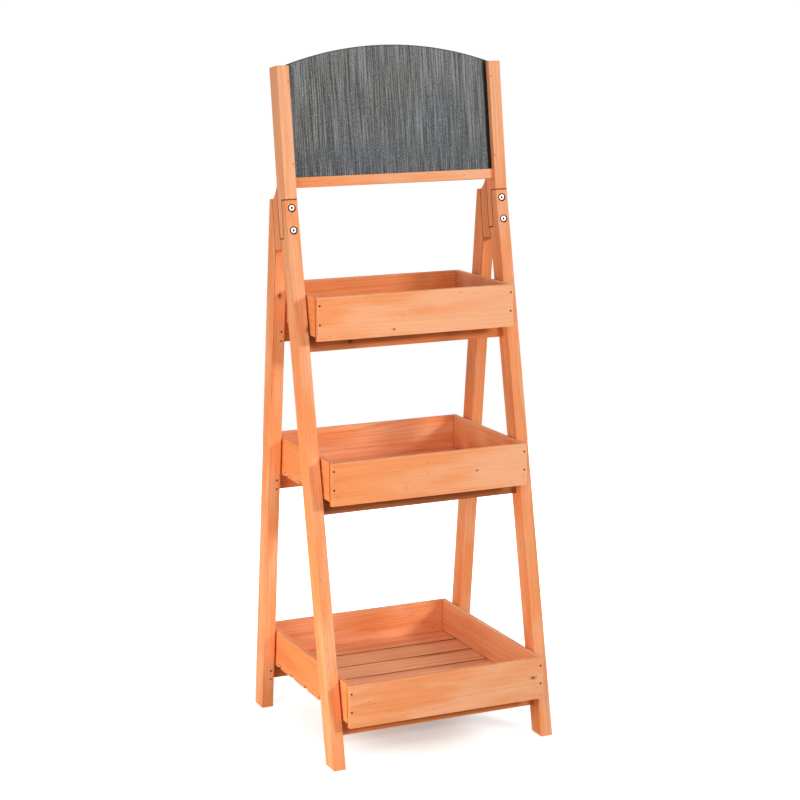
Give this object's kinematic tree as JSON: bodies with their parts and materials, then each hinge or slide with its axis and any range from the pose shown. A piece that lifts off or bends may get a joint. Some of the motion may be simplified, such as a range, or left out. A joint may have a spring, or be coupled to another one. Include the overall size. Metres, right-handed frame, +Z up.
{
  "type": "plant stand",
  "caption": "Ladder-shaped fir plant stand with lift-off slatted trays that get deeper towards the floor, and a small arched chalkboard on top.",
  "frame": {"origin": "on the floor, below the middle of the bottom tray", "axes": "+Z up, +Y from the chalkboard's writing face to its back, +X to the right as seen from the front"},
  "size_m": [0.45, 0.436, 1.3],
  "materials": {
    "stained_fir": "orange stained, matte, fine straight grain",
    "chalkboard_face": "dark grey matte paint with fine upright streaks",
    "bright_zinc": "bright zinc plated"
  },
  "bodies": {
    "frame": {"front_leg_left": "stained_fir", "front_leg_right": "stained_fir", "rear_leg_left": "stained_fir", "rear_leg_right": "stained_fir", "header_post_left": "stained_fir", "header_post_right": "stained_fir", "joint_block_left": "stained_fir", "joint_block_right": "stained_fir", "joint_bolts": "bright_zinc", "joint_washers": "bright_zinc", "joint_nuts": "bright_zinc", "chalkboard": "chalkboard_face", "chalkboard_ledge": "stained_fir", "chalkboard_pins": "bright_zinc", "front_rail_top": "stained_fir", "front_rail_middle": "stained_fir", "front_rail_bottom": "stained_fir", "rear_rail_top": "stained_fir", "rear_rail_middle": "stained_fir", "rear_rail_bottom": "stained_fir", "rail_nails": "bright_zinc"},
    "top_tray": {"top_tray_front": "stained_fir", "top_tray_back": "stained_fir", "top_tray_left": "stained_fir", "top_tray_right": "stained_fir", "top_tray_slat_1": "stained_fir", "top_tray_slat_2": "stained_fir", "top_tray_slat_3": "stained_fir", "top_tray_nails": "bright_zinc"},
    "middle_tray": {"middle_tray_front": "stained_fir", "middle_tray_back": "stained_fir", "middle_tray_left": "stained_fir", "middle_tray_right": "stained_fir", "middle_tray_slat_1": "stained_fir", "middle_tray_slat_2": "stained_fir", "middle_tray_slat_3": "stained_fir", "middle_tray_slat_4": "stained_fir", "middle_tray_nails": "bright_zinc"},
    "bottom_tray": {"bottom_tray_front": "stained_fir", "bottom_tray_back": "stained_fir", "bottom_tray_left": "stained_fir", "bottom_tray_right": "stained_fir", "bottom_tray_slat_1": "stained_fir", "bottom_tray_slat_2": "stained_fir", "bottom_tray_slat_3": "stained_fir", "bottom_tray_slat_4": "stained_fir", "bottom_tray_slat_5": "stained_fir", "bottom_tray_slat_6": "stained_fir", "bottom_tray_nails": "bright_zinc"}
  },
  "joints": [
    {"name": "top_tray_lift", "type": "slide", "parent": "frame", "child": "top_tray", "axis": [0, 0, 1], "range_m": [0, 0.15]},
    {"name": "middle_tray_lift", "type": "slide", "parent": "frame", "child": "middle_tray", "axis": [0, 0, 1], "range_m": [0, 0.15]},
    {"name": "bottom_tray_lift", "type": "slide", "parent": "frame", "child": "bottom_tray", "axis": [0, 0, 1], "range_m": [0, 0.15]}
  ]
}
